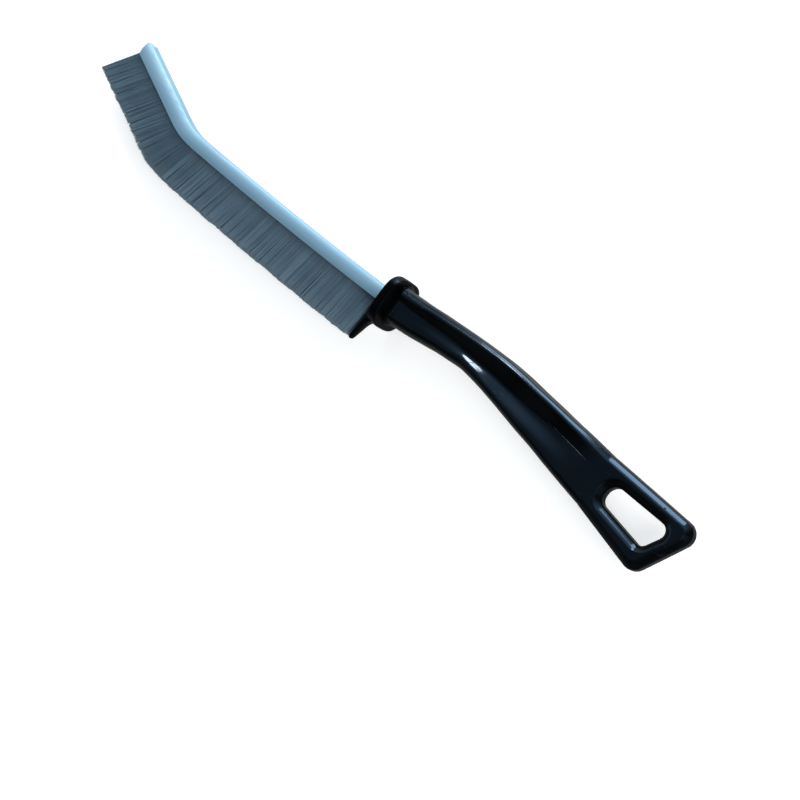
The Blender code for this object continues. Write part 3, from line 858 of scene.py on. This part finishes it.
# %% Mould marks
# Places and sizes are x and y, then the radius and, for a ring, its thickness.
PIN_RINGS = ((98.8, -7.8, 1.4, 0.10), (4.5, -2.8, 0.95, 0.10))
SPECKS = (
    (78.1, -1.3, 0.34), (77.0, -1.2, 0.2), (97.2, -5.8, 0.2),
    (5.4, 4.0, 0.5), (2.95, 4.35, 0.6), (94.0, 0.3, 0.3),
)
FLOW_LINE = ((57.2, -0.22), (60.0, -0.5), (64.0, -0.98), (68.0, -1.44), (71.2, -1.84))


def skin_height(x, y):
    """Height of the handle's upper skin at a place, in the brush's millimetres."""
    start = place((x, y, 12.0))
    found, spot, _, _ = handle.ray_cast(start, Vector((0, 0, -1)))
    return (spot.z - origin.z) / MM if found else 0.0


def ring_mark(x, y, radius, thickness):
    """A thin torus that lies on the skin."""
    rings = []
    for ahead, over in circle(40):
        centre = Vector((x + ahead * radius, y + over * radius, 0))
        centre.z = skin_height(centre.x, centre.y) - thickness * 0.35
        ring = [Vector((ahead * out, over * out, up)) * thickness for out, up in circle(8)]
        rings.append([centre + step for step in ring])
    return loft(rings, close_ends=False, looped=True)


def speck_mark(x, y, radius):
    """A small dome, sunk so that a fifth of its radius stands proud."""
    work = bmesh.new()
    bmesh.ops.create_icosphere(work, subdivisions=3, radius=radius)
    bmesh.ops.translate(work, vec=(x, y, skin_height(x, y) - radius * 0.8), verts=work.verts)
    return work


# The flow line is a thin uneven ridge, thickest in the middle of its length.
FLOW_STEPS = 60
chance = random.Random(2)
rings = []
for step in range(FLOW_STEPS + 1):
    share = step / FLOW_STEPS * (len(FLOW_LINE) - 1)
    index = min(int(share), len(FLOW_LINE) - 2)
    x, y = Vector(FLOW_LINE[index]).lerp(Vector(FLOW_LINE[index + 1]), share - index)
    wide = 0.13 * math.sin(math.pi * min(max(step / FLOW_STEPS, 0.06), 0.94)) ** 0.5
    wide *= chance.uniform(0.8, 1.15)
    z = skin_height(x, y) - wide * 0.45
    rings.append([(x, y + across * wide, z + up * wide) for across, up in circle(8)])
marks = [ring_mark(*row) for row in PIN_RINGS] + [speck_mark(*row) for row in SPECKS]
marks.append(loft(rings))
join_forms(handle, marks, "UNION")
handle.data.shade_smooth()


def matt_share(spot, normal):
    """How matt the skin is: the collar, the fin, upright walls and what faces front or end."""
    x, y, z = [(value - start) / MM for value, start in zip(spot, origin)]
    front = clamp((-normal.y - 0.15) / 0.35)
    end = clamp((abs(normal.x) - 0.22) / 0.3)
    wall = clamp((0.45 - abs(normal.z)) / 0.25)
    collar_zone = clamp((COLLAR_THICKNESS + 0.9 - x) / 0.8)
    glint = math.exp(-(((y - 5.6) / 0.7) ** 2) - ((z - 6.2) / 0.9) ** 2)
    return max(front, end, wall, collar_zone) * (1 - glint * (x < COLLAR_THICKNESS))


matt = [matt_share(vertex.co, vertex.normal) for vertex in handle.data.vertices]
handle.data.attributes.new("matt_skin", "FLOAT", "POINT").data.foreach_set("value", matt)
print("matt share of the handle's points:", round(sum(matt) / len(matt), 2))
handle.data.set_sharp_from_angle(angle=math.radians(50))
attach(handle, "root")
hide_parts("handle")
print("handle with", len(marks), "marks:", len(handle.data.polygons), "faces")

# %% [markdown]
# ## Channel, step 1: section
#
# The strip is folded into a square channel, with rounded corners at the back, and its two lips
# are pressed inwards at the mouth to bite on the filaments. The section is one closed outline.

# %% Channel section
WALL = 0.4
LIP_DRAW = 0.25
LIP_HEIGHT = 1.5
CORNER_OUTER = (0.92, 2.2)
CORNER_INNER = (0.4, 0.8)


def wall_line(half, corner, top, steps):
    """One side of the folded strip, from the lip to the middle of the back: across, up."""
    points = []
    for step in range(9):
        share = step / 8
        draw = LIP_DRAW * (1 - share) ** 1.6
        points.append((half - draw, -CHANNEL_WIDTH / 2 + LIP_HEIGHT * share))
    wide, tall = corner
    points.append((half, (top - tall - 0.5) / 2))
    for across, up in quarter(steps):
        points.append((half - wide + wide * across, top - tall + tall * up))
    points += [((half - wide) * share, top) for share in (0.75, 0.5, 0.25, 0.0)]
    return points


# The outer skin runs from lip to lip, and the inner skin back.
half = CHANNEL_WIDTH / 2
outer = wall_line(half, CORNER_OUTER, half, 12)
inner = wall_line(half - WALL, CORNER_INNER, half - WALL, 6)
section = outer + [(-over, up) for over, up in outer[-2::-1]]
section += [(-over, up) for over, up in inner] + inner[-2::-1]
print("channel section:", len(section), "points")

# %% [markdown]
# ## Channel, step 2: sweep and sheared end
#
# Every point of the section runs along the same line, so the sweep needs no modifier. Bending
# opens the strip a little, so beyond the bend the back stands higher, most of all on the far
# side. The free end was snipped at a slant. Each point therefore stops at its own distance, given
# by two slopes, with a nick in the back and a small spur at the near corner.

# %% Channel sweep
SHEAR_BACK_OFF = 2.9
SHEAR_REACH = 3.4
COARSE_STEP, FINE_STEP = 1.3, 0.45
SHEAR_SIDE = math.tan(math.radians(27))
SHEAR_UP = math.tan(math.radians(20))
NICK_DEPTH = 0.9
SPUR_LENGTH = 0.35
FLARE_NEAR = 0.3
FLARE_FAR = 0.75


def end_stop(over, up):
    """Where the strip ends along the line, for one point of the section."""
    stop = LINE_LENGTH - SHEAR_BACK_OFF + SHEAR_SIDE * over + SHEAR_UP * up
    at_back = clamp((up - 0.9) / 0.8)
    nick = NICK_DEPTH * at_back * math.exp(-(((over - 0.35) / 0.8) ** 2))
    spur = SPUR_LENGTH * at_back * math.exp(-(((over - 1.95) / 0.35) ** 2))
    return stop - nick + spur


def section_point(stop, over, up, at=None):
    """A point of the section in space, with the flare and softer corners beyond the bend."""
    point, _, back = line_frame(stop if at is None else at)
    share = ease(clamp((stop - STRAIGHT_LENGTH + 2) / (BEND_LENGTH + 2)))
    high = max(up / CHANNEL_WIDTH + 0.5, 0)
    side = 0.5 - over / CHANNEL_WIDTH
    up += share * high * (FLARE_NEAR + (FLARE_FAR - FLARE_NEAR) * side)
    return point + back * up + Vector((0, 0, over * (1 - 0.16 * share * high**3)))


# Whole sections run up to the sheared end, closer together in the bend.
full = LINE_LENGTH - SHEAR_BACK_OFF - SHEAR_REACH
stops, now = [], -SEATED_LENGTH
while now < full - 0.3:
    stops.append(now)
    bent = STRAIGHT_LENGTH - 2 < now < STRAIGHT_LENGTH + BEND_LENGTH + 2
    now += FINE_STEP if bent else COARSE_STEP
rings = [[section_point(stop, over, up) for over, up in section] for stop in stops]
for share in (0.0, 0.25, 0.5, 0.75, 1.0):
    ends = [full + (end_stop(over, up) - full) * share for over, up in section]
    rings.append([section_point(full, *point, end) for point, end in zip(section, ends)])
work = loft(rings, close_ends=False)
work.verts.ensure_lookup_table()
for start in (0, (len(rings) - 1) * len(section)):
    ring = work.verts[start : start + len(section)]
    edges = [work.edges.get(pair) for pair in zip(ring, ring[1:] + ring[:1])]
    bmesh.ops.triangle_fill(work, edges=edges, use_beauty=False)
channel = new_piece("steel_channel", work, coated_steel)
channel.data.set_sharp_from_angle(angle=math.radians(45))
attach(channel, "root")
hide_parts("channel")
print("channel:", len(channel.data.polygons), "faces")

# %% [markdown]
# ## Filaments, step 1: how they are held
#
# Each filament is folded in half over the core wire, so it gives two strands, one on each side
# of the mouth. Filaments lie in layers round the wire: the inner ones come out in the middle of
# the mouth and the outer ones against the lips. The strands lean towards the tip of the brush,
# more so near the tip.

# %% Filament path
WIRE_HEIGHT = 0.1
FREE_LENGTH = 12.5
MOUTH = -1.8
LAYERS, LAYER_STEP = 5, 0.2
WIRE_CLEARANCE = 0.56
LEAN_AT_COLLAR = math.radians(6)
LEAN_AT_TIP = math.radians(17)
FIRST_STOP = 0.45
LAST_STOP = LINE_LENGTH - 2.1
FIRST_STRAND = 3.1


def strand_points(stop, layer, side, chance, clump):
    """Points of one half of a filament, from above the wire to its tip."""
    radius = WIRE_CLEARANCE + layer * LAYER_STEP
    mouth = 0.12 + layer * LAYER_STEP
    tip = mouth * 1.35 + 0.1 + 0.06 * layer
    share = (stop - FIRST_STOP) / (LAST_STOP - FIRST_STOP)
    lean = math.tan(LEAN_AT_COLLAR + (LEAN_AT_TIP - LEAN_AT_COLLAR) * share)
    drift, pull, cut = clump
    length = FREE_LENGTH - cut - 0.35 * chance.random() ** 2
    sway = chance.gauss(0, 0.07)
    point, ahead, back = line_frame(stop)
    shape = [
        (0.0, 0.0, WIRE_HEIGHT + radius),
        (0.0, radius * 0.72, WIRE_HEIGHT + radius * 0.7),
        (0.0, radius, WIRE_HEIGHT),
        (0.0, mouth, MOUTH + 0.3),
    ]
    for part in (0.1, 0.3, 0.62, 0.9, 1.0):
        bow = drift * part**1.5 + sway * part
        wide = mouth + (tip - mouth) * part + pull * part
        shape.append((lean * length * part + bow, wide, MOUTH - length * part))
    up_z = Vector((0, 0, side))
    return [point + ahead * on + back * up + up_z * over for on, over, up in shape]


# The bank parts a little between clumps, and each clump drifts its own way.
CLUMP_WIDTHS = (0.7, 1.1, 1.5, 2.2, 3.0)
chance = random.Random(11)
clumps, now = [], FIRST_STOP
while now < LAST_STOP + 3:
    width = chance.choice(CLUMP_WIDTHS) * chance.uniform(0.8, 1.2)
    drift, pull, cut = chance.uniform(-1, 1), chance.uniform(-1, 1), chance.random()
    clumps.append((now, now + width, drift, pull, cut))
    now += width
print("filaments lie in", len(clumps), "clumps")

# %% [markdown]
# ## Filaments, step 2: tubes
#
# A filament is a thin tube with four sides. Thousands of separate curve objects would be slow,
# so the tubes of one stretch of the brush go into one mesh. Three numbers are stored with each
# vertex: the filament's own tone with painted shade at the edges of clumps, how near the point
# is to the cut tip, which pales it partly with painted light, and how near it is to the channel,
# which darkens it with painted shade.

# %% Tubes
STRAND_RADIUS = 0.098
COLUMN_PITCH = 0.2
# From the tip of a strand to the middle of the filament, at the nine points of each half.
TIP_VALUES = (1.0, 0.25, 0.0, 0.0, 0.0, 0.0, 0.0, 0.0, 0.0)
# How much painted shade from the channel's lips each point gets.
ROOT_SHADE_VALUES = (0.0, 0.0, 0.0, 0.15, 0.75, 1.0, 1.0, 1.0, 1.0)
# The same from tip to tip of a whole filament, once for each of a point's four vertices.
TUBE_TIPS, TUBE_ROOT_SHADES = [
    [value for value in values + values[-2::-1] for _ in range(4)]
    for values in (TIP_VALUES, ROOT_SHADE_VALUES)
]


def add_tube(points, vertices, faces):
    """Adds a four-sided tube with closed ends to the lists."""
    first = len(vertices)
    sideways = Vector((0, 0, 1))
    for index, point in enumerate(points):
        before = points[max(index - 1, 0)]
        after = points[min(index + 1, len(points) - 1)]
        run = (after - before).normalized()
        across = run.cross(sideways)
        if across.length < 0.3:
            across = Vector((1, 0, 0))
        across = across.normalized() * STRAND_RADIUS
        over = run.cross(across).normalized() * STRAND_RADIUS
        vertices += [point + across, point + over, point - across, point - over]
    for ring in range(len(points) - 1):
        base = first + ring * 4
        for side in range(4):
            after = (side + 1) % 4
            faces.append((base + side, base + after, base + 4 + after, base + 4 + side))
    last = first + (len(points) - 1) * 4
    faces.append((first + 3, first + 2, first + 1, first))
    faces.append((last, last + 1, last + 2, last + 3))


def make_filaments(name, node, low, high, chance):
    """The filaments between two shares of the head's length."""
    vertices, faces, tones_and_gap_shades, tips, root_shades = [], [], [], [], []
    start = max(FIRST_STOP + (LAST_STOP - FIRST_STOP) * low, FIRST_STRAND)
    end = FIRST_STOP + (LAST_STOP - FIRST_STOP) * high
    columns = round((end - start) / COLUMN_PITCH)
    for column in range(columns):
        middle = start + (end - start) * (column + 0.5) / columns
        for layer in range(LAYERS):
            stop = min(max(middle + chance.gauss(0, 0.05), start), end)
            left, right, drift, pull, cut = next(c for c in clumps if c[0] <= stop < c[1])
            aside = (stop - (left + right) / 2) / (right - left) * 2
            toward = -aside * min(right - left, 2) * 0.12 + drift * 0.16
            clump = (toward, pull * 0.12, 0.12 + cut * 0.25)
            # Random tone, with painted shade on the strands at a clump's edges, where the gaps
            # are.
            tone = clamp(0.58 + 0.25 * pull - 0.4 * aside**6 + chance.gauss(0, 0.15))
            near = strand_points(stop, layer, 1, chance, clump)
            far = strand_points(stop, layer, -1, chance, clump)
            points = list(reversed(near)) + far[1:]
            add_tube(points, vertices, faces)
            tones_and_gap_shades += [tone] * (len(points) * 4)
            tips += TUBE_TIPS
            root_shades += TUBE_ROOT_SHADES
    mesh = bpy.data.meshes.new(name)
    mesh.from_pydata([place(point) for point in vertices], [], faces)
    for label, values in (("strand_tone_and_gap_shade", tones_and_gap_shades), ("strand_tip_pale_and_painted_light", tips), ("painted_root_shade", root_shades)):
        mesh.attributes.new(label, "FLOAT", "POINT").data.foreach_set("value", values)
    mesh.shade_smooth()
    mesh.materials.append(nylon)
    piece = add_object(name, mesh)
    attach(piece, "root")
    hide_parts(node)
    print(name, "holds", columns * LAYERS, "filaments and", len(mesh.polygons), "faces")


BANKS = (
    ("filaments_collar", "bristles_collar", 0.0, 0.25),
    ("filaments_middle", "bristles_middle", 0.25, 0.5),
    ("filaments_front", "bristles_front", 0.5, 0.73),
    ("filaments_bend", "bristles_bend", 0.73, 0.84),
    ("filaments_tip", "bristles_tip", 0.84, 1.0),
)
strand_chance = random.Random(5)
for bank in BANKS:
    make_filaments(*bank, strand_chance)

# %% [markdown]
# ## Studio: floor and backdrop
#
# The brush lies on a plain white table that curves up into a low wall, so that views from the
# side also end in white. The floor keeps the brush's shadow. A little emission, seen only by the
# camera and in reflections, lifts it to paper white. From below, the floor is see-through.

# %% Floor
FLOOR_RADIUS = 3.0
WALL_HEIGHT = 1.2
COVE_RADIUS = 0.5

profile = [(0.0, 0.0), (0.6, 0.0), (FLOOR_RADIUS - COVE_RADIUS, 0.0)]
for across, up in quarter(8)[1:]:
    profile.append((FLOOR_RADIUS - COVE_RADIUS * (1 - up), COVE_RADIUS * (1 - across)))
profile.append((FLOOR_RADIUS, WALL_HEIGHT))
work = bmesh.new()
line = [work.verts.new((out, 0, up)) for out, up in profile]
line += [work.edges.new(pair) for pair in zip(line, line[1:])]
bmesh.ops.spin(work, geom=line, cent=(0, 0, 0), axis=(0, 0, 1), steps=64, angle=math.tau)
bmesh.ops.remove_doubles(work, verts=work.verts, dist=0.0001)
mesh = finished_mesh("studio_floor", work)
if sum(face.normal.z * face.area for face in mesh.polygons) < 0:
    mesh.flip_normals()
floor = add_object("studio_floor", mesh)
floor.location.z = cad_low.z

card, tree, shader = new_material("white_card", Roughness=0.9, Specular_IOR_Level=0.1)
paper = noise(tree, Scale=40.0, Detail=4.0)
seen = seen_by(tree, "Is Camera Ray", "Is Glossy Ray", "Is Transmission Ray")
set_inputs(
    shader,
    Base_Color=tinted(tree, paper, (0.62, 0.615, 0.61, 1), (0.65, 0.645, 0.64, 1), 0.5),
    Emission_Color=(1, 1, 1, 1),
    Emission_Strength=math_node(tree, "MULTIPLY", seen, 0.58),
)
below = add_node(tree, "NewGeometry").outputs["Backfacing"]
clear = add_node(tree, "BsdfTransparent")
mix_shaders(tree, below, (shader, clear), "Material Output")
mesh.materials.append(card)
floor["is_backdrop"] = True
print("floor at height", round(floor.location.z / MM, 2), "mm")

# %% [markdown]
# ## Studio: light
#
# Black gloss shows the room more than its own colour, so the room is arranged like a table by a
# window. A tall window stands low behind the brush and draws the pale line along the rim and
# inside the hole. A small lamp above it makes the spark on the shoulder of the grip. The sky is
# bright above the window, dim overhead and dark in front, which leaves the wall of the flute
# black, and the camera sees it plain white. A large soft panel lights the filaments and the table.

# %% Lamps and sky
def make_panel(name, direction, distance, sides, power, colour=(1, 1, 1)):
    """A rectangular area lamp that faces the middle of the brush."""
    data = bpy.data.lights.new(name, "AREA")
    data.shape = "RECTANGLE"
    data.size, data.size_y = sides
    data.energy = power
    data.color = colour
    lamp = add_object(name, data)
    way = Vector(direction).normalized()
    lamp.location = (cad_low + cad_high) / 2 + way * distance
    lamp.rotation_mode = "QUATERNION"
    lamp.rotation_quaternion = way.to_track_quat("Z", "Y")


make_panel("table_panel", (0.8, -0.1, 0.62), 1.3, (0.8, 0.8), 12.0)
make_panel("window", (-0.31, 0.91, 0.28), 1.5, (0.50, 0.56), 9.4, (0.82, 0.92, 1.0))
make_panel("shoulder_lamp", (-0.395, 0.725, 0.565), 1.5, (0.18, 0.18), 6.1, (1.0, 0.80, 0.66))

world = bpy.data.worlds.new("window_sky")
world.use_nodes = True
tree = world.node_tree
sky = tree.nodes["Background"]
where = add_node(tree, "TexCoord").outputs["Generated"]
parts = add_node(tree, "SeparateXYZ", Vector=where).outputs
behind = ramp(tree, parts["Y"], 0.15, 0.8)
ahead = ramp(tree, parts["X"], -0.50, -0.68)
level = total(tree, 0.28, (behind, 1.25), (ahead, 0.85))
shade = math_node(tree, "MAXIMUM", ramp(tree, parts["Y"], -0.6, -0.1), 0.08)
level = math_node(tree, "MULTIPLY", level, shade)
set_inputs(sky, Color=(0.72, 0.88, 1.0, 1), Strength=level)
plain = add_node(tree, "Background", Color=(1, 1, 1, 1), Strength=1.0)
seen = seen_by(tree, "Is Camera Ray", "Is Transmission Ray")
mix_shaders(tree, seen, (sky, plain), "World Output")
bpy.context.scene.world = world
bpy.context.scene.view_settings.view_transform = "Standard"
print("three lamps and a sky")

# %% [markdown]
# ## Sizes
#
# The box of the visual model is printed between the ends of the imported solids' box, axis by
# axis.

# %% Sizes and last line
visual_low, visual_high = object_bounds()
for axis, label in enumerate("xyz"):
    ends = [box[axis] for box in (cad_low, visual_low, visual_high, cad_high)]
    print(label, [round(end / MM, 2) for end in ends])
